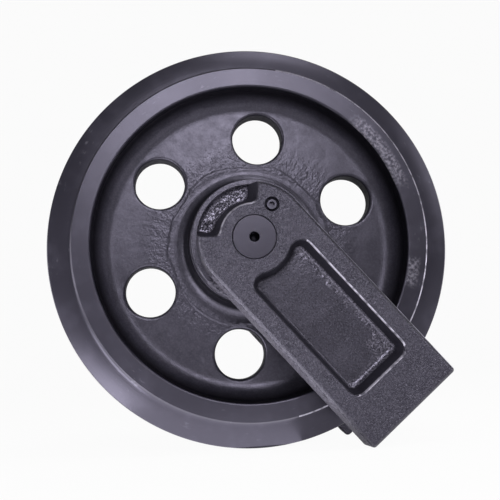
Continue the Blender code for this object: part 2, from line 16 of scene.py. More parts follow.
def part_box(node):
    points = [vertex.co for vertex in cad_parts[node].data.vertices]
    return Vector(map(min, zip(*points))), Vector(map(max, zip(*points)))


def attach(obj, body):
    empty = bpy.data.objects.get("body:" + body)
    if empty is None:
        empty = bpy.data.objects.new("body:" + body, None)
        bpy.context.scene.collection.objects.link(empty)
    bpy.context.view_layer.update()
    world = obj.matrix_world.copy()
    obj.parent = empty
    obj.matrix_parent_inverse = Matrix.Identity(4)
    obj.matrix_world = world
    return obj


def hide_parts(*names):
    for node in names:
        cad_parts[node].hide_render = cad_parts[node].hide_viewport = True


MM = 0.001

# Gaps between pieces
SEAT = 0.3 * MM
LABYRINTH = 1.5 * MM

# Wheel
FLANGE_TIP_HALF_WIDTH = 10 * MM
FLANGE_TIP_ROUND = 1.5 * MM
FLANGE_SHOULDER_DEPTH = 13 * MM
FLANGE_SHOULDER_SPREAD = 3.5 * MM
FLANGE_SHOULDER_ROUND = 110 * MM
FLANGE_ROOT_SPREAD = 1.5 * MM
FLANGE_ROOT_FILLET = 5 * MM
TREAD_HEIGHT = 26 * MM
RIM_EDGE_BEVEL = 1.5 * MM
RIM_WALL = 19.5 * MM
RIM_INNER_DRAFT = 3.5 * MM
RIM_INNER_FILLET = 19 * MM
RIM_LIP_ROUND = 2 * MM
WEB_HALF_THICKNESS = 13.5 * MM
HOLE_COUNT = 6
HOLE_RADIUS = 24.9 * MM
HOLE_EDGE_ROUND = 3 * MM
HOLE_FLARE_RISE = 1 * MM
HOLE_PITCH_RADIUS = 108 * MM
HOLE_LEAD_ANGLE = math.radians(12.4)
LIP_WALL = 4.2 * MM
LIP_EDGE_ROUND = 0.6 * MM
NOSE_WALL = 9 * MM
GROOVE_DEPTH = 6.5 * MM
HUB_DRAFT = 1.5 * MM
HUB_FILLET = 14 * MM
HUB_BORE_RADIUS = 23.6 * MM

# Cast and machined marks on the wheel. A relief is made of (wavelength, height) pairs
CAST_RELIEF = ((45 * MM, 0.30 * MM), (14 * MM, 0.07 * MM), (5 * MM, 0.02 * MM))
CAST_FADE = 3 * MM
PAD_RADIUS = 80 * MM
PAD_WANDER = ((26 * MM, 4 * MM), (5 * MM, 1 * MM))
PAD_STEP = 0.8 * MM
PAD_EDGE_WIDTH = 2 * MM
PAD_ZONE = 92 * MM
WALL_CUT_DEPTH = 7 * MM
WALL_CUT_STEP = 0.5 * MM
WALL_CUT_ANGLE = math.radians(-170)

# Paint on the wheel, with a painted highlight on the rim's bevel and painted shade on its steep walls
# Painted highlight: over this sweep of angles the rim's outer bevel gets bright, partly metallic
# paint, where light catches it
RIM_HIGHLIGHT_ANGLE = math.radians(51)
RIM_HIGHLIGHT_HALF_SWEEP = math.radians(78)
RIM_SCUFF_SHARE = 0.5
RIM_SCUFF_FADE = 4 * MM
RIM_SCUFFS = (
    (math.radians(83), math.radians(17), 154 * MM, 168 * MM),
    (math.radians(37), math.radians(6), 156 * MM, 168 * MM),
)
# Painted shade: the rim's steep inner wall and the hub's wall by its lip get near-black, dull paint
STEEP_SLOPE = 0.25
LEVEL_SLOPE = 0.92
RIM_WALL_SHADE_START = 118 * MM
RIM_WALL_SHADE_END = 132 * MM
HUB_WALL_SHADE_START = 63.5 * MM
HUB_WALL_SHADE_END = 68 * MM
HUB_WALL_SHADE_SHARE = 0.85
MARKS_START = 74 * MM
MARKS_FULL = 82 * MM
MARKS_END = 112 * MM
INNER_MARKS_SHARE = 0.3
OUTER_MARKS_SHARE = 0.15

# Shaft and bracket
SHAFT_RADIUS = 20 * MM
SHAFT_END_ROUND = 0.6 * MM
CENTRE_HOLE_RADIUS = 4.6 * MM
CENTRE_HOLE_DEPTH = 14 * MM
CENTRE_HOLE_CONE = 5 * MM
RIM_TO_SEAL_PLANE = 2 * MM
BRACKET_DEPTH = 42 * MM
BRACKET_HALF_WIDTH = 52 * MM
ARM_BEYOND_FLANGE = 15.2 * MM
BRACKET_CORNER_RADIUS = 3 * MM
BRACKET_DRAFT = 1.5 * MM
BRACKET_FACE_ROUND = 4.4 * MM
BRACKET_BACK_ROUND = 1.4 * MM
BORE_MOUTH_BEVEL = 0.6 * MM
BOSS_WALL = 7 * MM
SPIGOT_WALL = 3.5 * MM
DISC_INSET = 1 * MM
DISC_RISE = 15.5 * MM
DISC_ROUND = 1.2 * MM
HOUSING_RADIUS = 39.3 * MM
BOSS_END = 31.5 * MM
HUB_CONE_RADIUS = 35.4 * MM
HUB_CONE_START = 30.95 * MM
HUB_FLOOR = 27.9 * MM
POCKET_START = 29 * MM
POCKET_END_LAND = 43.9 * MM
POCKET_HALF_WIDTH = 33.2 * MM
POCKET_CORNER_RADIUS = 10 * MM
POCKET_FLOOR_CORNER_RADIUS = 5.5 * MM
POCKET_BOSS_RADIUS = 34.6 * MM
POCKET_DEPTH = 22 * MM
POCKET_WALL_SLOPE = 4.6 * MM
POCKET_END_LEAN = 1.25
POCKET_FLOOR_FILLET = 3 * MM
POCKET_RELIEF = ((30 * MM, 0.5 * MM), (6 * MM, 0.12 * MM))
POCKET_LUMPS = ((2.2 * MM, 0.9 * MM), (5 * MM, 1.1 * MM))
ROUGH_SPOT_REACH = 30 * MM
ROUGH_WALL_REACH = 9 * MM
ROUGH_WALL_START = 0.6
ROUGH_WANDER = ((7 * MM, 0.5),)
ROUGH_PAINT_START = 0.3
KIDNEY_INNER_RADIUS = 32.3 * MM
KIDNEY_HALF_SWEEP = math.radians(46.5)
KIDNEY_CORNER_RADIUS = 7 * MM
KIDNEY_RIM_WALL = 4.8 * MM
KIDNEY_DEPTH = 35.5 * MM
KIDNEY_WALL_SLOPE = 6 * MM
KIDNEY_FLOOR_FILLET = 2 * MM
KIDNEY_LUMPS = ((1.9 * MM, 0.9 * MM), (4 * MM, 1.2 * MM))
RECESS_LIP_ROUND = 2 * MM
FACE_GRAIN_FADE = 0.3 * MM
FACE_GRAIN_END = 1.2 * MM
SIDE_GRAIN_SHARE = 0.2
# Painted highlight on edges: how metallic it is, and how far round the arm's face round it reaches
HIGHLIGHT_METAL_SHARE = 0.6
HIGHLIGHT_EDGE_SHARE = 0.55

# Lock pins and oil plugs
PIN_RADIUS = 5 * MM
PIN_BITE = 4 * MM
PIN_REACH = 13 * MM
PIN_DEPTH = 17.5 * MM
PIN_RECESS = 4 * MM
PIN_BEVEL = 0.8 * MM
PLUG_RADIUS = 4.9 * MM
PLUG_LENGTH = 12 * MM
PLUG_RECESS = 1 * MM
PLUG_BEVEL = 0.5 * MM
PLUG_SOCKET_ACROSS_FLATS = 5 * MM
PLUG_SOCKET_DEPTH = 5 * MM
PLUG_SOCKET_SIDES = 6
PLUG_COUNTERBORE_RADIUS = 7 * MM
PLUG_COUNTERBORE_DEPTH = 3.5 * MM
PLUG_ORBIT = 34.3 * MM
PLUG_ANGLE = math.radians(109)

# Angles
QUARTER_TURN = math.pi / 2
HALF_TURN = math.pi
FULL_TURN = 2 * math.pi

# Fineness of the meshes
WHEEL_SEGMENTS = 288
HOUSING_SEGMENTS = 192
ROUND_SEGMENTS = 96
SMALL_SEGMENTS = 40
HEAD_ARC_STEPS = 60
KIDNEY_ARC_STEPS = 28
FILLET_STEPS = 8
EDGE_STEPS = 4
PLAIN_SPACING = 8.8 * MM
CAST_SPACING = 2.2 * MM
FINE_SPACING = 0.9 * MM
POCKET_FLOOR_SPACING = 1.2 * MM
KIDNEY_FLOOR_SPACING = 0.7 * MM
CUT_MARGIN = 3 * MM
MERGE_DISTANCE = 0.01 * MM
FILLET_SHARE = 0.8
CORNER_RADIUS_LEAST = 1 * MM
SHARP_ANGLE = math.radians(32)
LIP_SWEEP = math.radians(75)

# Camera, from the photograph's ellipses
CAMERA_AZIMUTH = math.radians(-4.26)
CAMERA_ELEVATION = math.radians(-5.03)
CAMERA_ROLL = math.radians(-5.79)
CAMERA_DISTANCE = 1025.4 * MM
CAMERA_TARGET = Vector((1.8 * MM, 0, 196.8 * MM))
CAMERA_LENS = 73.04
CAMERA_ARM_DROP = math.radians(52.66)

# Paint and metal
# Near-black paint, the painted shade on the web's steep walls
PAINT_STEEP_SHADE = (0.006, 0.0055, 0.008)
PAINT_DARK = (0.014, 0.013, 0.019)
PAINT_LIGHT = (0.026, 0.024, 0.034)
# The worn and rubbed colours also make the painted highlights on edges, and the pooled colour the
# painted light on the arm's lower side
PAINT_WORN_AND_HIGHLIGHT = (0.080, 0.077, 0.096)
PAINT_POOLED_AND_LIT = (0.145, 0.136, 0.172)
PAINT_RUBBED_AND_HIGHLIGHT = (0.42, 0.40, 0.48)
PAINT_SPECULAR = 0.75
PAINT_SPECULAR_TINT = (0.81, 0.76, 1.0)
SHADE_SPECULAR = 0.15
STEEL_COLOURS = ((0.18, 0.18, 0.20), (0.26, 0.26, 0.28))
BRONZE_COLOURS = ((0.38, 0.24, 0.09), (0.46, 0.30, 0.12))
RUBBER_COLOURS = ((0.010, 0.010, 0.011), (0.018, 0.018, 0.019))
GRAIN_LOW = 0.3
GRAIN_HIGH = 0.7

# Stage
STAGE_COLOURS = ((0.92, 0.92, 0.92), (0.94, 0.94, 0.93))
STAGE_GLOW_SHARE = 0.95
STAGE_GLOW_END = 0.12
STAGE_DARK_START = 0.40
STAGE_FRONT = 4
STAGE_BACK = 2
STAGE_CURVE = 1.5
STAGE_HEIGHT = 5
STAGE_HALF_WIDTH = 5
WORLD_STRENGTH = 0.2

# Lamps, each with its place, the length of its sides and its power
LAMPS_AT_WHEEL = {
    "key": ((0.02, -1.69, 0.82), 0.62, 10.4),
    "top": ((0.34, -0.95, 1.69), 0.62, 6.2),
    "right": ((1.46, -0.84, 0.82), 0.62, 5.5),
    "edge": ((0.95, -0.12, 0.10), 0.4, 2.5),
    "side": ((-1.1, -0.22, 0.18), 0.5, 4),
}
LAMPS_UPWARD = {
    "low": ((-0.10, -0.12, 0.002), 0.28, 0.42),
    "left": ((-0.31, -0.19, 0.002), 0.28, 1.3),
}

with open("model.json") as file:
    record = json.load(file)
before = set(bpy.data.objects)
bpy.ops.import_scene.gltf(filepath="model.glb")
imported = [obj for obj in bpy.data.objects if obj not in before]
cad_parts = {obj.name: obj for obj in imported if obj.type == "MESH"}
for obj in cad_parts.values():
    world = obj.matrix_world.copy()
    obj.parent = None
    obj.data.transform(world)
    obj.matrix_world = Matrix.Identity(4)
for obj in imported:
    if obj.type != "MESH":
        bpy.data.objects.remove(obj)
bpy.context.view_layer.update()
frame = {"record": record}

# Places that the solids give
wheel_low, wheel_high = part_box("idler_wheel")
flange_radius = (wheel_high.z - wheel_low.z) / 2
rim_half_width = wheel_high.y
bracket_face = -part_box("bracket_near")[0].y
shaft_half_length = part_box("shaft")[1].y
mounts = {mount["name"]: mount for mount in frame["record"]["mounts"]}
arm_end = Vector(mounts["arm_end_near"]["pos_m"])
arm_run = arm_end.xz - Vector((0, flange_radius))
arm_drop = math.atan2(-arm_run.y, arm_run.x)
tilt_arm = Matrix.Rotation(arm_drop, 4, "Y")
raise_axis = Matrix.Rotation(QUARTER_TURN, 4, "X")
STAND = Matrix.Translation((0, 0, flange_radius)) @ tilt_arm @ raise_axis

# Radii and stations that follow
nose_radius = HOUSING_RADIUS + NOSE_WALL
spigot_inner_radius = nose_radius + LABYRINTH
spigot_outer_radius = spigot_inner_radius + SPIGOT_WALL
lip_inner_radius = spigot_outer_radius + LABYRINTH
lip_outer_radius = lip_inner_radius + LIP_WALL
disc_radius = lip_outer_radius - DISC_INSET
tread_radius = flange_radius - TREAD_HEIGHT
rim_inner_radius = tread_radius - RIM_WALL
seal_plane = rim_half_width - RIM_TO_SEAL_PLANE
labyrinth_floor = seal_plane - LABYRINTH / 2
labyrinth_roof = seal_plane + LABYRINTH / 2
groove_floor = labyrinth_floor - GROOVE_DEPTH
spigot_end = groove_floor + LABYRINTH
housing_floor = 2 * seal_plane - HUB_FLOOR
housing_cone_start = 2 * seal_plane - HUB_CONE_START
boss_radius = SHAFT_RADIUS + SEAT + BOSS_WALL
bracket_back = bracket_face - BRACKET_DEPTH
disc_top = bracket_back + DISC_RISE
bracket_length = flange_radius + ARM_BEYOND_FLANGE
pocket_end = bracket_length - POCKET_END_LAND
draft_per_depth = BRACKET_DRAFT / BRACKET_DEPTH
plug_top = bracket_face - PLUG_RECESS
plug_end = plug_top - PLUG_LENGTH
pin_station = bracket_face - PIN_DEPTH
pin_offset = SHAFT_RADIUS - PIN_BITE + PIN_RADIUS
plug_place = Vector((math.cos(PLUG_ANGLE), math.sin(PLUG_ANGLE), 0)) * PLUG_ORBIT


def link_object(name, data):
    item = bpy.data.objects.new(name, data)
    bpy.context.scene.collection.objects.link(item)
    return item


def add_object(name, builder):
    bmesh.ops.remove_doubles(builder, verts=builder.verts, dist=MERGE_DISTANCE)
    bmesh.ops.recalc_face_normals(builder, faces=builder.faces)
    mesh = bpy.data.meshes.new(name)
    builder.to_mesh(mesh)
    builder.free()
    return link_object(name, mesh)


def arc(centre_x, centre_y, radius, start, end, steps):
    """Points of an arc, both ends included."""
    turns = [start + (end - start) * step / steps for step in range(steps + 1)]
    return [(centre_x + radius * math.cos(turn), centre_y + radius * math.sin(turn)) for turn in turns]


def rounded(corners, closed=True):
    """An outline from (x, y, radius) corners, where a radius rounds its corner."""
    points = []
    for index, (x, y, radius) in enumerate(corners):
        at_end = index in (0, len(corners) - 1)
        if radius == 0 or (at_end and not closed):
            points.append((x, y))
            continue
        corner = Vector((x, y))
        before = Vector(corners[index - 1][:2]) - corner
        after = Vector(corners[(index + 1) % len(corners)][:2]) - corner
        half_angle = before.angle(after) / 2
        room = FILLET_SHARE * min(before.length, after.length)
        radius = min(radius, room * math.tan(half_angle))
        before.normalize()
        after.normalize()
        centre = corner + (before + after).normalized() * radius / math.sin(half_angle)
        first = corner + before * radius / math.tan(half_angle) - centre
        last = corner + after * radius / math.tan(half_angle) - centre
        start = math.atan2(first.y, first.x)
        end = start - first.angle_signed(last)
        points += arc(centre.x, centre.y, radius, start, end, FILLET_STEPS)
    return points


def densified(points, spacing):
    """The same line with points no further apart than spacing(x, y) says."""
    dense = [points[0]]
    for (x0, y0), (x1, y1) in zip(points, points[1:]):
        gap = spacing((x0 + x1) / 2, (y0 + y1) / 2)
        count = max(1, math.ceil(math.hypot(x1 - x0, y1 - y0) / gap))
        for step in range(1, count + 1):
            dense.append((x0 + (x1 - x0) * step / count, y0 + (y1 - y0) * step / count))
    return dense


def turned(name, points, segments, closed=False):
    """Turn (radius, height) points about Z. An open line starts and ends on the axis."""
    builder = bmesh.new()
    verts = [builder.verts.new((radius, 0, height)) for radius, height in points]
    edges = [builder.edges.new(pair) for pair in zip(verts, verts[1:])]
    if closed:
        edges.append(builder.edges.new((verts[-1], verts[0])))
    about_z = {"cent": (0, 0, 0), "axis": (0, 0, 1), "angle": FULL_TURN}
    bmesh.ops.spin(builder, geom=verts + edges, steps=segments, use_merge=True, **about_z)
    return add_object(name, builder)


def lofted(name, levels):
    """A solid through (height, outline) levels with equal numbers of points."""
    builder = bmesh.new()
    rings = []
    for height, outline in levels:
        rings.append([builder.verts.new((x, y, height)) for x, y in outline])
    for lower, upper in zip(rings, rings[1:]):
        for index in range(len(lower)):
            builder.faces.new((lower[index - 1], lower[index], upper[index], upper[index - 1]))
    builder.faces.new(rings[0])
    builder.faces.new(rings[-1])
    return add_object(name, builder)


def combine(item, tool, operation="DIFFERENCE"):
    """Cut a tool out of an item, or join it, then remove the tool."""
    modifier = item.modifiers.new("combine", "BOOLEAN")
    modifier.operation = operation
    modifier.solver = "EXACT"
    modifier.object = tool
    depsgraph = bpy.context.evaluated_depsgraph_get()
    result = bpy.data.meshes.new_from_object(item.evaluated_get(depsgraph))
    item.modifiers.clear()
    item.data = result
    bpy.data.objects.remove(tool, do_unlink=True)


def mirrored_copy(name, source):
    """The same piece on the far side of the wheel's middle plane."""
    mesh = source.data.copy()
    mesh.transform(Matrix.Scale(-1, 4, (0, 0, 1)))
    mesh.flip_normals()
    return link_object(name, mesh)


def mirrored_outline(half):
    """The far half of a profile, then the near half, in one line."""
    far_half = [(radius, -height) for radius, height in reversed(half)]
    return far_half + half


def paint_by_place(item, paint_at, paints):
    """Give each face of a piece the paint that paint_at names for its place."""
    names = list(paints)
    for paint in paints.values():
        item.data.materials.append(paint)
    for face in item.data.polygons:
        face.material_index = names.index(paint_at(face.center))


def finish_piece(item, body, slot, *materials):
    """Shade a piece, stand it up and let it stand for its solid."""
    item.data.shade_smooth()
    item.data.set_sharp_from_angle(angle=SHARP_ANGLE)
    for material in materials:
        item.data.materials.append(material)
    item.modifiers.new("even_shading", "WEIGHTED_NORMAL").keep_sharp = True
    item.data.transform(STAND)
    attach(item, body)
    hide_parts(item.name.removesuffix("_looks"))


def clamp(value):
    return max(0, min(1, value))


def relief(place, waves):
    """How far an uneven skin stands out at a place, from (wavelength, height) waves."""
    return sum(noise.noise(place / wavelength) * height for wavelength, height in waves)


def wheel_spacing(radius, height):
    """How close the section's points lie: closer where there are cast marks."""
    if radius < lip_outer_radius or radius > rim_inner_radius + RIM_LIP_ROUND:
        return PLAIN_SPACING
    if radius < PAD_ZONE or radius > rim_inner_radius - RIM_INNER_DRAFT:
        return FINE_SPACING
    return CAST_SPACING


def wheel_half_profile():
    """Half of the wheel's section, from the hub's bore out to the flange's tip."""
    hub_foot = lip_outer_radius + HUB_DRAFT
    rim_foot = rim_inner_radius - RIM_INNER_DRAFT
    shoulder_radius = flange_radius - FLANGE_SHOULDER_DEPTH
    shoulder_half_width = FLANGE_TIP_HALF_WIDTH + FLANGE_SHOULDER_SPREAD
    root_half_width = shoulder_half_width + FLANGE_ROOT_SPREAD
    corners = [
        (HUB_BORE_RADIUS, 0, 0),
        (HUB_BORE_RADIUS, HUB_FLOOR, 0),
        (HUB_CONE_RADIUS, HUB_FLOOR, 0),
        (HOUSING_RADIUS, HUB_CONE_START, 0),
        (HOUSING_RADIUS, labyrinth_floor, 0),
        (nose_radius, labyrinth_floor, 0),
        (nose_radius, groove_floor, 0),
        (lip_inner_radius, groove_floor, 0),
        (lip_inner_radius, labyrinth_floor, LIP_EDGE_ROUND),
        (lip_outer_radius, labyrinth_floor, LIP_EDGE_ROUND),
        (hub_foot, WEB_HALF_THICKNESS, HUB_FILLET),
        (PAD_ZONE, WEB_HALF_THICKNESS, 0),
        (rim_foot, WEB_HALF_THICKNESS, RIM_INNER_FILLET),
        (rim_inner_radius, rim_half_width, RIM_LIP_ROUND),
        (tread_radius - RIM_EDGE_BEVEL, rim_half_width, 0),
        (tread_radius, rim_half_width - RIM_EDGE_BEVEL, 0),
        (tread_radius, root_half_width, FLANGE_ROOT_FILLET),
        (shoulder_radius, shoulder_half_width, FLANGE_SHOULDER_ROUND),
        (flange_radius, FLANGE_TIP_HALF_WIDTH, FLANGE_TIP_ROUND),
        (flange_radius, 0, 0),
    ]
    return densified(rounded(corners, closed=False), wheel_spacing)


def cast_weight(radius, height):
    """How far a point of the wheel lies inside its cast surfaces, from 0 to 1."""
    if radius > rim_inner_radius + MERGE_DISTANCE:
        return 0
    from_lip = (radius - lip_outer_radius) / CAST_FADE
    from_rim = (rim_half_width - RIM_LIP_ROUND - height) / CAST_FADE
    return clamp(min(from_lip, from_rim))


def cast_marks(place):
    """How far the casting's skin stands out of its true form at a place."""
    radius = place.xy.length
    weight = cast_weight(radius, abs(place.z))
    if weight == 0:
        return 0
    edge = PAD_RADIUS + relief(place, PAD_WANDER)
    step = PAD_STEP * clamp((edge - radius) / PAD_EDGE_WIDTH + 0.5)
    return (relief(place, CAST_RELIEF) + step) * weight


def wall_cut(place):
    """How far a tool that sat off centre has opened the rim's cast wall."""
    radius = place.xy.length
    depth = rim_half_width - abs(place.z)
    on_wall = rim_inner_radius - RIM_INNER_DRAFT < radius < rim_inner_radius + RIM_LIP_ROUND
    if not on_wall or depth > RIM_INNER_FILLET:
        return 0
    turn = math.atan2(place.y, place.x) - WALL_CUT_ANGLE
    reach = WALL_CUT_DEPTH * max(0, math.cos(turn))
    return WALL_CUT_STEP * clamp((reach - depth) / FINE_SPACING + 0.5)


def shape_castings(wheel):
    """Give the wheel its cast skin and the off-centre cut in its rim."""
    builder = bmesh.new()
    builder.from_mesh(wheel.data)
    builder.normal_update()
    moves = []
    for vert in builder.verts:
        outward = vert.co.xy.to_3d().normalized()
        moves.append(vert.normal * cast_marks(vert.co) + outward * wall_cut(vert.co))
    for vert, move in zip(builder.verts, moves):
        vert.co += move
    builder.to_mesh(wheel.data)
    builder.free()


def hole_half_profile():
    """Half of a web hole's cutter: its round runs on past the web's uneven face."""
    centre = HOLE_RADIUS + HOLE_EDGE_ROUND
    round_start = WEB_HALF_THICKNESS - HOLE_EDGE_ROUND
    edge = arc(centre, round_start, HOLE_EDGE_ROUND, HALF_TURN, HALF_TURN - LIP_SWEEP, FILLET_STEPS)
    last_radius, last_height = edge[-1]
    top = last_height + HOLE_FLARE_RISE
    flare_radius = last_radius + HOLE_FLARE_RISE * math.tan(LIP_SWEEP)
    return edge + [(flare_radius, top), (0, top)]


def web_hole_cutters():
    """The cutters of all the web's holes, as one object."""
    cutter = turned("hole_cutter", mirrored_outline(hole_half_profile()), ROUND_SEGMENTS)
    builder = bmesh.new()
    for number in range(HOLE_COUNT):
        angle = HOLE_LEAD_ANGLE + FULL_TURN * number / HOLE_COUNT
        place = Vector((math.cos(angle), math.sin(angle), 0)) * HOLE_PITCH_RADIUS
        mesh = cutter.data.copy()
        mesh.transform(Matrix.Translation(place))
        builder.from_mesh(mesh)
    bpy.data.objects.remove(cutter, do_unlink=True)
    return add_object("hole_cutters", builder)


def make_idler_wheel():
    half = wheel_half_profile()
    section = mirrored_outline(half[1:])
    wheel = turned("idler_wheel_looks", section, WHEEL_SEGMENTS, closed=True)
    shape_castings(wheel)
    combine(wheel, web_hole_cutters())
    return wheel


def hole_distance(place):
    """How far a place is from the middle line of the nearest web hole."""
    step = FULL_TURN / HOLE_COUNT
    angle = math.atan2(place.y, place.x) - HOLE_LEAD_ANGLE
    angle -= step * round(angle / step)
    outward = place.xy.length * math.cos(angle) - HOLE_PITCH_RADIUS
    return math.hypot(outward, place.xy.length * math.sin(angle))


def wheel_paint_at(place):
    """The paint or metal at a place on the wheel."""
    radius = place.xy.length
    height = abs(place.z)
    from_highlight = math.atan2(place.y, place.x) - RIM_HIGHLIGHT_ANGLE
    highlit = math.cos(from_highlight) > math.cos(RIM_HIGHLIGHT_HALF_SWEEP)
    past_bevel = radius > tread_radius - RIM_EDGE_BEVEL
    on_bevel = past_bevel and radius < tread_radius and height > rim_half_width - RIM_EDGE_BEVEL
    # Painted highlight on the rim's outer bevel, over the sweep where light catches it
    if on_bevel and highlit:
        return "rubbed"
    on_rim_face = radius > rim_inner_radius and height > rim_half_width - RIM_LIP_ROUND
    if on_rim_face or past_bevel:
        return "machined"
    if radius < lip_outer_radius - LIP_EDGE_ROUND and height < labyrinth_floor - MM / 2:
        return "hard"
    if radius < lip_outer_radius and height > WEB_HALF_THICKNESS:
        return "machined"
    # Painted shade: dull paint on the walls of the web holes
    in_hole = hole_distance(place) < HOLE_RADIUS + HOLE_EDGE_ROUND / 4
    return "thin" if in_hole else "web"


def across_arm(name, radius, start, end, bevel):
    """A round bar across the near arm, at the lock pin's place."""
    face_radius = radius - bevel
    profile = [(0, start), (face_radius, start), (radius, start + bevel)]
    profile += [(radius, end - bevel), (face_radius, end), (0, end)]
    bar = turned(name, profile, SMALL_SEGMENTS)
    lay_across = Matrix.Rotation(-QUARTER_TURN, 4, "X")
    bar.data.transform(Matrix.Translation((pin_offset, 0, pin_station)) @ lay_across)
    return bar


def make_lock_pin():
    mouth = BRACKET_HALF_WIDTH - PIN_RECESS
    return across_arm("lock_pin_near_looks", PIN_RADIUS, -PIN_REACH, mouth, PIN_BEVEL)


def pin_cutter():
    mouth = BRACKET_HALF_WIDTH + BRACKET_DRAFT + CUT_MARGIN
    return across_arm("pin_cutter", PIN_RADIUS + SEAT, -PIN_REACH - SEAT, mouth, PIN_BEVEL)


def make_shaft():
    end = shaft_half_length
    edge = end - SHAFT_END_ROUND
    outer = SHAFT_RADIUS - SHAFT_END_ROUND
    inner = CENTRE_HOLE_RADIUS + SHAFT_END_ROUND
    half = arc(outer, edge, SHAFT_END_ROUND, 0, QUARTER_TURN, EDGE_STEPS)
    half += arc(inner, edge, SHAFT_END_ROUND, QUARTER_TURN, HALF_TURN, EDGE_STEPS)
    hole_end = end - CENTRE_HOLE_DEPTH
    half += [(CENTRE_HOLE_RADIUS, hole_end), (0, hole_end - CENTRE_HOLE_CONE)]
    shaft = turned("shaft_looks", mirrored_outline(half), ROUND_SEGMENTS)
    near_notch = pin_cutter()
    far_notch = mirrored_copy("far_notch", near_notch)
    combine(shaft, near_notch)
    combine(shaft, far_notch)
    return shaft


def block_outline(inset):
    """The bracket's outline: a round head and a straight arm."""
    half_width = BRACKET_HALF_WIDTH - inset
    end = bracket_length - inset
    corner = max(BRACKET_CORNER_RADIUS - inset, CORNER_RADIUS_LEAST)
    points = arc(0, 0, half_width, QUARTER_TURN, 3 * QUARTER_TURN, HEAD_ARC_STEPS)
    points += arc(end - corner, corner - half_width, corner, -QUARTER_TURN, 0, FILLET_STEPS)
    points += arc(end - corner, half_width - corner, corner, 0, QUARTER_TURN, FILLET_STEPS)
    return points


def edge_steps(radius, steps=EDGE_STEPS, sweep=QUARTER_TURN):
    """Points along a round edge, as distances from where its two sides would meet."""
    turns = [sweep * step / steps for step in range(steps + 1)]
    return [(radius * (1 - math.cos(turn)), radius * (1 - math.sin(turn))) for turn in turns]


def make_bracket_block():
    """The arm and head, wider at the back by the draft, with rounded edges."""
    back_edge = edge_steps(BRACKET_BACK_ROUND)
    face_edge = edge_steps(BRACKET_FACE_ROUND, FILLET_STEPS)
    levels = [(bracket_back + rise, inset) for rise, inset in back_edge]
    levels += [(bracket_face - drop, inset) for inset, drop in face_edge]
    outlines = []
    for height, inset in levels:
        spread = draft_per_depth * (bracket_face - height)
        outlines.append((height, block_outline(inset - spread)))
    return lofted("bracket_near_looks", outlines)


def make_seal_housing():
    """The round back of the bracket: disc, labyrinth spigot, seal bore and boss."""
    core = SHAFT_RADIUS / 2
    profile = [
        (core, BOSS_END),
        (boss_radius, BOSS_END),
        (boss_radius, housing_floor),
        (HUB_CONE_RADIUS, housing_floor),
        (HOUSING_RADIUS, housing_cone_start),
        (HOUSING_RADIUS, labyrinth_roof),
        (spigot_inner_radius, labyrinth_roof),
        (spigot_inner_radius, spigot_end),
        (spigot_outer_radius, spigot_end),
        (spigot_outer_radius, labyrinth_roof),
        (disc_radius, labyrinth_roof),
    ]
    edge_height = disc_top - DISC_ROUND
    profile += arc(disc_radius - DISC_ROUND, edge_height, DISC_ROUND, 0, QUARTER_TURN, EDGE_STEPS)
    profile.append((core, disc_top))
    return turned("seal_housing", profile, HOUSING_SEGMENTS, closed=True)


def recess_levels(outline, depth, slope, fillet):
    """Levels of a cast recess: a filleted floor, sloping walls and a rounded lip."""
    floor = bracket_face - depth
    levels = []
    for rise, run in edge_steps(fillet):
        foot = slope * (depth - rise) / depth
        levels.append((floor + rise, outline(foot + run)))
    for spread, drop in edge_steps(RECESS_LIP_ROUND, sweep=LIP_SWEEP):
        levels.append((bracket_face - drop, outline(-spread)))
    levels.append((bracket_face + CUT_MARGIN, outline(-RECESS_LIP_ROUND - CUT_MARGIN)))
    return levels


def floor_faces(builder, height):
    def level(face):
        return all(abs(vert.co.z - height) < MERGE_DISTANCE for vert in face.verts)

    return [face for face in builder.faces if level(face)]


def crossed(face, axis, cut):
    along = [vert.co[axis] for vert in face.verts]
    return min(along) < cut < max(along)


def roughen_floor(cutter, height, spacing, mark):
    """Cut a cutter's flat bottom into a grid and lift its points by mark(place)."""
    builder = bmesh.new()
    builder.from_mesh(cutter.data)
    for axis in (0, 1):
        normal = Vector((1 - axis, axis, 0))
        places = [vert.co[axis] for face in floor_faces(builder, height) for vert in face.verts]
        low, high = min(places), max(places)
        for step in range(1, math.ceil((high - low) / spacing)):
            cut = low + step * spacing
            faces = [face for face in floor_faces(builder, height) if crossed(face, axis, cut)]
            edges = {edge for face in faces for edge in face.edges}
            verts = {vert for face in faces for vert in face.verts}
            geometry = list(verts) + list(edges) + faces
            bmesh.ops.bisect_plane(builder, geom=geometry, plane_co=normal * cut, plane_no=normal)
    floor = set(floor_faces(builder, height))
    verts = {vert for face in floor for vert in face.verts}
    inner = [vert for vert in verts if all(face in floor for face in vert.link_faces)]
    for vert in inner:
        vert.co.z += mark(vert.co)
    builder.to_mesh(cutter.data)
    builder.free()


def pocket_outline(inset):
    half_width = POCKET_HALF_WIDTH - inset
    corner = max(POCKET_CORNER_RADIUS - inset, POCKET_FLOOR_CORNER_RADIUS)
    start = POCKET_START + inset
    end = pocket_end - inset * POCKET_END_LEAN
    corners = [(start, -half_width), (end, -half_width), (end, half_width), (start, half_width)]
    return rounded([(x, y, corner) for x, y in corners])


def round_boss_outline(inset):
    return arc(0, 0, POCKET_BOSS_RADIUS + inset, 0, FULL_TURN, ROUND_SEGMENTS)[:-1]


def pocket_roughness(place):
    """From 0 to 1: rough along the upper wall and the end, most in their corner."""
    foot = POCKET_WALL_SLOPE + POCKET_FLOOR_FILLET
    from_wall = POCKET_HALF_WIDTH - foot - place.y
    from_end = pocket_end - foot * POCKET_END_LEAN - place.x
    near_corner = 1 - math.hypot(from_wall, from_end) / ROUGH_SPOT_REACH
    near_wall = ROUGH_WALL_START - from_wall / ROUGH_WALL_REACH
    near_end = ROUGH_WALL_START - from_end / ROUGH_WALL_REACH
    return clamp(max(near_corner, near_wall, near_end) + relief(place, ROUGH_WANDER))


def pocket_mark(place):
    """A grainy floor with lumps where it is rough."""
    return relief(place, POCKET_RELIEF) + pocket_roughness(place) * relief(place, POCKET_LUMPS)


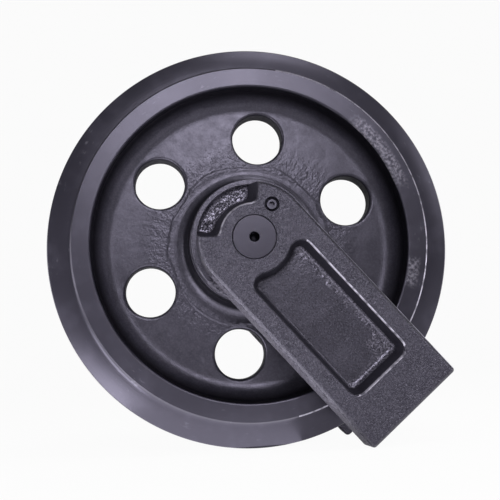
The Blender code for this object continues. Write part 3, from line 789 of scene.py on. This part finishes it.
def pocket_cutter():
    """The arm's long recess, which stops at the round boss about the shaft."""
    shape = (POCKET_DEPTH, POCKET_WALL_SLOPE, POCKET_FLOOR_FILLET)
    cutter = lofted("pocket_cutter", recess_levels(pocket_outline, *shape))
    roughen_floor(cutter, bracket_face - POCKET_DEPTH, POCKET_FLOOR_SPACING, pocket_mark)
    levels = recess_levels(round_boss_outline, *shape)
    (floor, foot), (top, mouth) = levels[0], levels[-1]
    levels = [(floor - CUT_MARGIN, foot), *levels, (top + CUT_MARGIN, mouth)]
    combine(cutter, lofted("boss", levels))
    return cutter


def kidney_outline(inset):
    """A ring sector opposite the arm, with rounded inner corners."""
    depth_to_disc = bracket_face - disc_top
    spread_at_disc = KIDNEY_WALL_SLOPE * depth_to_disc / KIDNEY_DEPTH
    inner = KIDNEY_INNER_RADIUS + inset
    outer = disc_radius - KIDNEY_RIM_WALL + spread_at_disc - inset
    sweep = KIDNEY_HALF_SWEEP - inset / inner
    orbit = inner + KIDNEY_CORNER_RADIUS
    lean = math.asin(KIDNEY_CORNER_RADIUS / orbit)
    first = HALF_TURN - sweep
    last = HALF_TURN + sweep

    def corner(middle, start):
        x = orbit * math.cos(middle)
        y = orbit * math.sin(middle)
        end = start - QUARTER_TURN + lean
        return arc(x, y, KIDNEY_CORNER_RADIUS, start, end, FILLET_STEPS)

    points = corner(first + lean, first - QUARTER_TURN)
    points += arc(0, 0, inner, first + lean, last - lean, KIDNEY_ARC_STEPS)[1:-1]
    points += corner(last - lean, last - lean + HALF_TURN)
    return points + arc(0, 0, outer, last, first, KIDNEY_ARC_STEPS)


def kidney_mark(place):
    return relief(place, KIDNEY_LUMPS)


def kidney_cutter():
    shape = (KIDNEY_DEPTH, KIDNEY_WALL_SLOPE, KIDNEY_FLOOR_FILLET)
    cutter = lofted("kidney_cutter", recess_levels(kidney_outline, *shape))
    roughen_floor(cutter, bracket_face - KIDNEY_DEPTH, KIDNEY_FLOOR_SPACING, kidney_mark)
    return cutter


def bore_cutter():
    top = bracket_face + CUT_MARGIN
    bottom = BOSS_END - CUT_MARGIN
    bore = SHAFT_RADIUS + SEAT
    mouth = bore + BORE_MOUTH_BEVEL + CUT_MARGIN
    bevel_start = bracket_face - BORE_MOUTH_BEVEL
    profile = [(0, bottom), (bore, bottom), (bore, bevel_start), (mouth, top), (0, top)]
    return turned("bore_cutter", profile, ROUND_SEGMENTS)


def plug_hole_cutter():
    bore = PLUG_RADIUS + SEAT
    bottom = plug_end - SEAT
    step = bracket_face - PLUG_COUNTERBORE_DEPTH
    top = bracket_face + CUT_MARGIN
    profile = [(0, bottom), (bore, bottom), (bore, step)]
    profile += [(PLUG_COUNTERBORE_RADIUS, step), (PLUG_COUNTERBORE_RADIUS, top), (0, top)]
    cutter = turned("plug_hole_cutter", profile, SMALL_SEGMENTS)
    cutter.data.transform(Matrix.Translation(plug_place))
    return cutter


def make_bracket():
    bracket = make_bracket_block()
    combine(bracket, make_seal_housing(), "UNION")
    cutters = (bore_cutter(), pocket_cutter(), kidney_cutter(), plug_hole_cutter(), pin_cutter())
    for cutter in cutters:
        combine(bracket, cutter)
    return bracket


def bracket_paint_at(place):
    """The paint at a place on the near bracket."""
    radius = place.xy.length
    depth = bracket_face - place.z
    in_head = place.x < 0
    on_lip = MERGE_DISTANCE < depth < RECESS_LIP_ROUND

    over_kidney = in_head and KIDNEY_INNER_RADIUS < radius < disc_radius - KIDNEY_RIM_WALL
    kidney_foot = KIDNEY_DEPTH - KIDNEY_FLOOR_FILLET
    if over_kidney and kidney_foot < depth < BRACKET_DEPTH:
        return "pooled"

    over_pocket = POCKET_START < place.x < pocket_end and abs(place.y) < POCKET_HALF_WIDTH
    pocket_foot = POCKET_DEPTH - POCKET_FLOOR_FILLET
    on_floor = over_pocket and pocket_foot < depth < BRACKET_DEPTH
    if on_floor and pocket_roughness(place) > ROUGH_PAINT_START:
        return "grainy"

    # Painted light: the arm's lower side gets a lighter paint for the light that falls on it
    by_lower_side = place.x > 0 and place.y < MM - BRACKET_HALF_WIDTH
    if by_lower_side and depth > BRACKET_FACE_ROUND / 2:
        return "side"

    # Painted highlight: bright edges on the pocket's upper and end lips, the kidney's inner lip and
    # the arm's upper face round
    past_wall = POCKET_HALF_WIDTH - MM < place.y < POCKET_HALF_WIDTH + RECESS_LIP_ROUND
    past_end = pocket_end - MM < place.x < pocket_end + RECESS_LIP_ROUND
    beside_pocket = place.x > POCKET_BOSS_RADIUS and place.y > -POCKET_HALF_WIDTH
    on_pocket_lip = on_lip and beside_pocket and (past_wall or past_end)
    mouth_radius = KIDNEY_INNER_RADIUS - RECESS_LIP_ROUND
    by_kidney = in_head and mouth_radius < radius < BRACKET_HALF_WIDTH - MM
    on_kidney_lip = on_lip and by_kidney and radius < KIDNEY_INNER_RADIUS + MM
    on_round = BRACKET_FACE_ROUND * (1 - HIGHLIGHT_EDGE_SHARE) < depth < BRACKET_FACE_ROUND
    by_upper_side = 0 < place.x < flange_radius and place.y > BRACKET_HALF_WIDTH / 2
    if on_pocket_lip or on_kidney_lip or (on_round and by_upper_side):
        return "rubbed"

    # Painted shade: dull paint on the recess walls and in the plug's counterbore
    at_disc = abs(place.z - disc_top) < DISC_ROUND
    on_kidney_wall = by_kidney and RECESS_LIP_ROUND < depth < kidney_foot and not at_disc
    on_pocket_wall = over_pocket and RECESS_LIP_ROUND < depth < pocket_foot
    from_plug = (place.xy - plug_place.xy).length
    in_counterbore = from_plug < PLUG_COUNTERBORE_RADIUS + MM and depth > MERGE_DISTANCE
    if on_kidney_wall or on_pocket_wall or in_counterbore:
        return "thin"
    return "cast"


def make_oil_plug():
    profile = [(0, plug_end), (PLUG_RADIUS, plug_end), (PLUG_RADIUS, plug_top - PLUG_BEVEL)]
    profile += [(PLUG_RADIUS - PLUG_BEVEL, plug_top), (0, plug_top)]
    plug = turned("oil_plug_near_looks", profile, SMALL_SEGMENTS)
    socket_radius = PLUG_SOCKET_ACROSS_FLATS / math.sqrt(3)
    socket_floor = plug_top - PLUG_SOCKET_DEPTH
    hexagon = arc(0, 0, socket_radius, 0, FULL_TURN, PLUG_SOCKET_SIDES)[:-1]
    levels = [(socket_floor, hexagon), (plug_top + CUT_MARGIN, hexagon)]
    combine(plug, lofted("socket_cutter", levels))
    plug.data.transform(Matrix.Translation(plug_place))
    return plug


class Nodes:
    """A node tree that short calls put together."""

    def __init__(self, tree):
        self.tree = tree

    def add(self, kind, **settings):
        node = self.tree.nodes.new(kind)
        for key, value in settings.items():
            setattr(node, key, value)
        return node

    def feed(self, socket, source):
        """Join a socket to another node's output, or set it to a number or colour."""
        if isinstance(source, bpy.types.NodeSocket):
            self.tree.links.new(source, socket)
        elif isinstance(source, tuple):
            socket.default_value = (*source, 1) if socket.type == "RGBA" else source
        else:
            socket.default_value = source

    def feed_all(self, node, *sources):
        for socket, source in zip(node.inputs, sources):
            self.feed(socket, source)
        return node

    def number(self, operation, *operands):
        node = self.add("ShaderNodeMath", operation=operation)
        return self.feed_all(node, *operands).outputs["Value"]

    def total(self, first, *others):
        for other in others:
            first = self.number("ADD", first, other)
        return first

    def product(self, first, *others):
        for other in others:
            first = self.number("MULTIPLY", first, other)
        return first

    def vector(self, operation, *operands):
        node = self.add("ShaderNodeVectorMath", operation=operation)
        output = "Value" if operation in ("LENGTH", "DOT_PRODUCT") else "Vector"
        return self.feed_all(node, *operands).outputs[output]

    def fade(self, value, low, high, to_low=0.0, to_high=1.0):
        node = self.add("ShaderNodeMapRange", interpolation_type="SMOOTHSTEP")
        return self.feed_all(node, value, low, high, to_low, to_high).outputs["Result"]

    def blend(self, factor, first, second):
        node = self.add("ShaderNodeMix", data_type="RGBA")
        self.feed(node.inputs["Factor"], factor)
        self.feed(node.inputs["A"], first)
        self.feed(node.inputs["B"], second)
        return node.outputs["Result"]


class Surface(Nodes):
    """A material whose textures lie as modelled, with the wheel's axis along Z."""

    def __init__(self, name, **values):
        self.material = bpy.data.materials.new(name)
        self.material.use_nodes = True
        super().__init__(self.material.node_tree)
        self.shader = self.tree.nodes["Principled BSDF"]
        for socket, value in values.items():
            self.put(socket.replace("_", " "), value)
        coordinates = self.add("ShaderNodeTexCoord")
        turn_back = self.add("ShaderNodeMapping", vector_type="TEXTURE")
        turn_back.inputs["Location"].default_value = STAND.to_translation()
        turn_back.inputs["Rotation"].default_value = STAND.to_euler()
        self.feed(turn_back.inputs["Vector"], coordinates.outputs["Object"])
        self.normal = coordinates.outputs["Normal"]
        self.place = turn_back.outputs["Vector"]

    def put(self, socket, source):
        self.feed(self.shader.inputs[socket], source)

    def across_axis(self):
        return self.vector("MULTIPLY", self.place, (1, 1, 0))

    def from_axis(self):
        return self.vector("LENGTH", self.across_axis())

    def along_axis(self):
        split = self.add("ShaderNodeSeparateXYZ")
        self.feed(split.inputs["Vector"], self.place)
        return split.outputs["Z"]

    def steepness(self):
        """From 0 on faces that lie square to the wheel's axis to 1 on walls along it."""
        axis = tuple(STAND.col[2].xyz)
        level = self.number("ABSOLUTE", self.vector("DOT_PRODUCT", self.normal, axis))
        return self.fade(level, STEEP_SLOPE, LEVEL_SLOPE, 1.0, 0.0)

    def grain(self, size, detail=2, place=None):
        """Noise from 0 to 1 whose lumps are about size across."""
        node = self.add("ShaderNodeTexNoise")
        self.feed(node.inputs["Vector"], place or self.place)
        self.feed(node.inputs["Scale"], 1 / size)
        self.feed(node.inputs["Detail"], detail)
        return node.outputs["Fac"]

    def streaks(self, around, outward, detail=2):
        """Noise with so many lumps to a radian round the axis and to a metre outwards."""
        outward_way = self.vector("NORMALIZE", self.across_axis())
        turn = self.vector("MULTIPLY", outward_way, (around, around, 0))
        along = self.vector("MULTIPLY", self.place, (0, 0, outward))
        out = self.add("ShaderNodeCombineXYZ")
        self.feed(out.inputs["Z"], self.product(self.from_axis(), outward))
        place = self.vector("ADD", self.vector("ADD", turn, along), out.outputs["Vector"])
        return self.grain(1.0, detail, place)

    def spots(self, size, low, high, detail=3):
        """From 0 to 1, in spots that are larger where low and high are lower."""
        return self.fade(self.grain(size, detail), low, high)

    def wander(self, size, least=0.0, most=1.0, detail=3):
        """A value that changes between least and most over about size."""
        return self.fade(self.grain(size, detail), GRAIN_LOW, GRAIN_HIGH, least, most)

    def bumps(self, size, height):
        return self.product(self.grain(size), height)

    def worn_specks(self, colour, size, low, high, share):
        """A colour with specks of worn paint over it."""
        specks = self.product(self.spots(size, low, high), share)
        return self.blend(specks, colour, PAINT_WORN_AND_HIGHLIGHT)

    def finish(self, colour, roughness, height):
        bump = self.add("ShaderNodeBump")
        self.feed(bump.inputs["Distance"], 1.0)
        self.feed(bump.inputs["Height"], height)
        self.put("Base Color", colour)
        self.put("Roughness", roughness)
        self.put("Normal", bump.outputs["Normal"])
        return self.material


def coat(name, specular=PAINT_SPECULAR, **values):
    """A coat of paint, whose shine is a little violet."""
    return Surface(name, Specular_IOR_Level=specular, Specular_Tint=PAINT_SPECULAR_TINT, **values)


def cast_paint():
    """Satin black paint over the fine pimples of a sand casting, most on its near face."""
    paint = coat("cast_paint")
    patches = paint.blend(paint.wander(16 * MM), PAINT_DARK, PAINT_LIGHT)
    colour = paint.worn_specks(patches, 1.4 * MM, low=0.48, high=0.64, share=0.8)
    roughness = paint.wander(1.6 * MM, least=0.24, most=0.42)
    from_middle = paint.number("ABSOLUTE", paint.along_axis())
    below_face = paint.number("SUBTRACT", bracket_face, from_middle)
    on_face = paint.fade(below_face, FACE_GRAIN_FADE, FACE_GRAIN_END, 1.0, SIDE_GRAIN_SHARE)
    pimples = paint.total(
        paint.bumps(6 * MM, height=0.18 * MM),
        paint.bumps(2.2 * MM, height=0.85 * MM),
        paint.bumps(1.1 * MM, height=0.30 * MM),
    )
    return paint.finish(colour, roughness, paint.product(pimples, on_face))


def lit_side_paint():
    """Painted light along the arm's lower side: a lighter, dull paint for the light that falls there.
    """
    paint = coat("lit_side_paint", specular=0.1)
    rubbed = paint.spots(2.4 * MM, low=0.38, high=0.6, detail=4)
    colour = paint.blend(rubbed, PAINT_LIGHT, PAINT_POOLED_AND_LIT)
    roughness = paint.wander(2 * MM, least=0.60, most=0.80)
    return paint.finish(colour, roughness, paint.bumps(2 * MM, height=0.45 * MM))


def rough_paint(name, index):
    """Glossy paint on a lumpy floor, brighter where its refractive index is higher."""
    paint = coat(name, IOR=index)
    speckle = paint.spots(1.6 * MM, low=0.42, high=0.62)
    colour = paint.blend(speckle, PAINT_LIGHT, PAINT_POOLED_AND_LIT)
    roughness = paint.wander(2 * MM, least=0.16, most=0.32)
    return paint.finish(colour, roughness, paint.bumps(2.4 * MM, height=0.5 * MM))


def rubbed_paint():
    """Painted highlight on edges: light, partly metallic patches that stand in for light catching
    them.
    """
    paint = coat("rubbed_paint")
    highlit = paint.spots(7 * MM, low=0.36, high=0.56, detail=4)
    paint.put("Metallic", paint.product(highlit, HIGHLIGHT_METAL_SHARE))
    colour = paint.blend(highlit, PAINT_WORN_AND_HIGHLIGHT, PAINT_RUBBED_AND_HIGHLIGHT)
    roughness = paint.wander(3 * MM, least=0.30, most=0.45)
    return paint.finish(colour, roughness, paint.bumps(1.5 * MM, height=0.06 * MM))


def web_paint():
    """Paint on the web, with marks that run out from the hub, and painted shade on the steep walls of
    the rim and the hub.
    """
    paint = coat("web_paint")
    streaks = paint.streaks(around=14, outward=22, detail=3)
    tone = paint.product(paint.fade(streaks, GRAIN_LOW, GRAIN_HIGH), paint.grain(30 * MM))
    patches = paint.blend(tone, PAINT_DARK, PAINT_LIGHT)
    painted = paint.worn_specks(patches, 1.8 * MM, low=0.4, high=0.65, share=0.25)
    radius = paint.from_axis()
    # Painted shade: near-black, dull paint on the rim's steep inner wall and on the hub's wall by its
    # lip
    by_rim = paint.fade(radius, RIM_WALL_SHADE_START, RIM_WALL_SHADE_END)
    by_hub = paint.fade(radius, HUB_WALL_SHADE_START, HUB_WALL_SHADE_END, HUB_WALL_SHADE_SHARE, 0.0)
    thin = paint.number("MAXIMUM", paint.product(paint.steepness(), by_rim), by_hub)
    colour = paint.blend(thin, painted, PAINT_STEEP_SHADE)
    gloss = paint.fade(thin, 0.0, 1.0, PAINT_SPECULAR, SHADE_SPECULAR)
    paint.put("Specular IOR Level", gloss)
    roughness = paint.wander(8 * MM, least=0.28, most=0.36)
    inner = paint.fade(radius, MARKS_START, MARKS_FULL, INNER_MARKS_SHARE, 1.0)
    outer = paint.fade(radius, PAD_ZONE, MARKS_END, 1.0, OUTER_MARKS_SHARE)
    marks = paint.total(
        paint.product(streaks, 0.5 * MM),
        paint.bumps(4 * MM, height=0.42 * MM),
        paint.bumps(2 * MM, height=0.16 * MM),
    )
    fine = paint.bumps(1.2 * MM, height=0.05 * MM)
    return paint.finish(colour, roughness, paint.total(paint.product(marks, inner, outer), fine))


def shade_paint():
    """Painted shade: dull paint that reflects little, on the walls of the web holes and of the
    recesses.
    """
    paint = coat("shade_paint", specular=SHADE_SPECULAR)
    colour = paint.blend(paint.grain(6 * MM, detail=3), PAINT_DARK, PAINT_LIGHT)
    roughness = paint.wander(4 * MM, least=0.65, most=0.80)
    return paint.finish(colour, roughness, paint.bumps(1.5 * MM, height=0.10 * MM))


def rim_scuffs(paint):
    """From 0 to 1: where the near rim face was knocked, by the rim's inner edge."""
    outward = paint.vector("NORMALIZE", paint.across_axis())
    radius = paint.from_axis()
    marks = []
    for angle, half_sweep, inner, outer in RIM_SCUFFS:
        middle = (math.cos(angle), math.sin(angle), 0)
        along = paint.vector("DOT_PRODUCT", outward, middle)
        within = paint.fade(along, math.cos(half_sweep), math.cos(half_sweep / 2))
        past_inner = paint.fade(radius, inner - MM, inner + MM)
        before_outer = paint.fade(radius, outer - RIM_SCUFF_FADE, outer + MM, 1.0, 0.0)
        marks.append(paint.product(within, past_inner, before_outer))
    near_side = paint.fade(paint.along_axis(), 0.0, rim_half_width / 2)
    scratches = paint.spots(3 * MM, low=0.36, high=0.72, detail=5)
    return paint.product(paint.total(*marks), near_side, scratches, RIM_SCUFF_SHARE)


def machined_paint():
    """Paint over turned metal: fine rings, and smudges where it was handled."""
    paint = coat("machined_paint")
    smudge = paint.spots(22 * MM, low=0.45, high=0.75, detail=2)
    patches = paint.blend(smudge, PAINT_DARK, PAINT_LIGHT)
    handled = paint.spots(45 * MM, low=0.50, high=0.66, detail=2)
    streaks = paint.streaks(around=22, outward=420, detail=4)
    scuffs = paint.fade(streaks, low=0.60, high=0.74)
    painted = paint.blend(paint.product(scuffs, handled), patches, PAINT_WORN_AND_HIGHLIGHT)
    colour = paint.blend(rim_scuffs(paint), painted, PAINT_RUBBED_AND_HIGHLIGHT)
    roughness = paint.wander(50 * MM, least=0.28, most=0.31, detail=1)
    rings = paint.product(paint.streaks(around=0.6, outward=900), 0.03 * MM)
    height = paint.total(rings, paint.bumps(1.3 * MM, height=0.035 * MM))
    return paint.finish(colour, roughness, height)


def turned_metal(name, colours, least, most):
    """Bare metal with the rings that a lathe leaves, of the least to the most roughness."""
    surface = Surface(name, Metallic=1.0)
    colour = surface.blend(surface.grain(12 * MM, detail=3), *colours)
    roughness = surface.wander(5 * MM, least, most)
    rings = surface.product(surface.streaks(around=0.8, outward=1200), 0.015 * MM)
    return surface.finish(colour, roughness, rings)


def rubber():
    surface = Surface("nitrile_rubber", Specular_IOR_Level=0.4)
    colour = surface.blend(surface.grain(6 * MM, detail=3), *RUBBER_COLOURS)
    roughness = surface.wander(3 * MM, least=0.6, most=0.75, detail=2)
    return surface.finish(colour, roughness, surface.bumps(0.7 * MM, height=0.02 * MM))


def white_stage():
    """A floor that keeps shadows and looks white, in reflections only beside and behind the object."""
    surface = Surface("white_stage", Roughness=0.9, Specular_IOR_Level=0.0)
    surface.put("Base Color", surface.blend(surface.grain(0.4, detail=1), *STAGE_COLOURS))
    path = surface.add("ShaderNodeLightPath").outputs
    mirrored = surface.number("MAXIMUM", path["Is Glossy Ray"], path["Is Transmission Ray"])
    nearby = surface.fade(surface.along_axis(), STAGE_GLOW_END, STAGE_DARK_START, 1.0, 0.0)
    seen = surface.number("MAXIMUM", path["Is Camera Ray"], surface.product(mirrored, nearby))
    glow = surface.add("ShaderNodeEmission")
    mix = surface.add("ShaderNodeMixShader")
    share = surface.product(seen, STAGE_GLOW_SHARE)
    surface.feed_all(mix, share, surface.shader.outputs["BSDF"], glow.outputs["Emission"])
    output = surface.tree.nodes["Material Output"]
    surface.feed(output.inputs["Surface"], mix.outputs["Shader"])
    return surface.material


def make_stage():
    """A floor that curves up into a wall behind the object."""
    outline = [(-STAGE_FRONT, 0)]
    outline += arc(STAGE_BACK, STAGE_CURVE, STAGE_CURVE, -QUARTER_TURN, 0, ROUND_SEGMENTS)
    outline.append((STAGE_BACK + STAGE_CURVE, STAGE_HEIGHT))
    builder = bmesh.new()
    rows = []
    for y, z in outline:
        rows.append([builder.verts.new((x, y, z)) for x in (-STAGE_HALF_WIDTH, STAGE_HALF_WIDTH)])
    for (left, right), (next_left, next_right) in zip(rows, rows[1:]):
        builder.faces.new((left, right, next_right, next_left))
    stage = add_object("stage", builder)
    stage.data.shade_smooth()
    stage.data.materials.append(white_stage())


def add_softbox(name, place, target, size, power):
    light = bpy.data.lights.new(name, "AREA")
    light.size = size
    light.energy = power
    lamp = link_object(name, light)
    lamp.location = place
    lamp.rotation_euler = (target - place).to_track_quat("-Z", "Y").to_euler()
    lamp.visible_camera = False


def light_the_scene():
    world = bpy.data.worlds.new("studio")
    world.use_nodes = True
    nodes = Nodes(world.node_tree)
    path = nodes.add("ShaderNodeLightPath").outputs
    seen = nodes.number("MAXIMUM", path["Is Camera Ray"], path["Is Transmission Ray"])
    strength = nodes.number("MULTIPLY_ADD", seen, 1 - WORLD_STRENGTH, WORLD_STRENGTH)
    background = world.node_tree.nodes["Background"]
    nodes.feed(background.inputs["Color"], (1, 1, 1))
    nodes.feed(background.inputs["Strength"], strength)
    bpy.context.scene.world = world
    for name, (place, size, power) in LAMPS_AT_WHEEL.items():
        add_softbox(name, Vector(place), Vector((0, 0, flange_radius)), size, power)
    for name, (place, size, power) in LAMPS_UPWARD.items():
        add_softbox(name, Vector(place), Vector(place) + Vector((0, 0, 1)), size, power)


def place_camera():
    data = bpy.data.cameras.new("camera")
    data.lens = CAMERA_LENS
    camera = link_object("camera", data)
    across = math.cos(CAMERA_ELEVATION) * CAMERA_DISTANCE
    offset = Vector((
        math.sin(CAMERA_AZIMUTH) * across,
        -math.cos(CAMERA_AZIMUTH) * across,
        math.sin(CAMERA_ELEVATION) * CAMERA_DISTANCE,
    ))
    aim = (-offset).to_track_quat("-Z", "Y") @ Quaternion((0, 0, 1), CAMERA_ROLL)
    axis = Matrix.Translation((0, 0, flange_radius))
    about_axis = axis @ Matrix.Rotation(arm_drop - CAMERA_ARM_DROP, 4, "Y") @ axis.inverted()
    camera.matrix_world = about_axis @ Matrix.LocRotScale(CAMERA_TARGET + offset, aim, None)
    bpy.context.scene.camera = camera


def dress_solid(node, material):
    """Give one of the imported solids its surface."""
    item = bpy.data.objects[node]
    item.data.materials.clear()
    item.data.materials.append(material)


def dress_idler():
    machined = machined_paint()
    rubbed = rubbed_paint()
    thin = shade_paint()
    hard = turned_metal("hard_steel", STEEL_COLOURS, least=0.25, most=0.38)
    bronze = turned_metal("bronze", BRONZE_COLOURS, least=0.30, most=0.45)
    black_rubber = rubber()

    wheel = make_idler_wheel()
    paints = {"web": web_paint(), "machined": machined, "hard": hard, "thin": thin, "rubbed": rubbed}
    paint_by_place(wheel, wheel_paint_at, paints)
    finish_piece(wheel, "wheel", "black_paint")
    finish_piece(make_shaft(), "support", "machined_steel", machined)

    bracket = make_bracket()
    paints = {
        "cast": cast_paint(),
        "pooled": rough_paint("pooled_paint", index=1.9),
        "grainy": rough_paint("grainy_paint", index=1.55),
        "side": lit_side_paint(),
        "rubbed": rubbed,
        "thin": thin,
    }
    paint_by_place(bracket, bracket_paint_at, paints)
    pieces = (
        (bracket, "black_paint"),
        (make_oil_plug(), "hard_steel", machined),
        (make_lock_pin(), "hard_steel", hard),
    )
    for near, slot, *materials in pieces:
        far = mirrored_copy(near.name.replace("near", "far"), near)
        finish_piece(near, "support", slot, *materials)
        finish_piece(far, "support", slot, *materials)

    for side in ("near", "far"):
        dress_solid(f"bush_{side}", bronze)
        dress_solid(f"shaft_oring_{side}", black_rubber)
        for motion in ("fixed", "turning"):
            dress_solid(f"{motion}_seal_ring_{side}", hard)
            dress_solid(f"{motion}_toric_{side}", black_rubber)


dress_idler()
make_stage()
light_the_scene()
place_camera()
bpy.context.scene.view_settings.view_transform = "Standard"
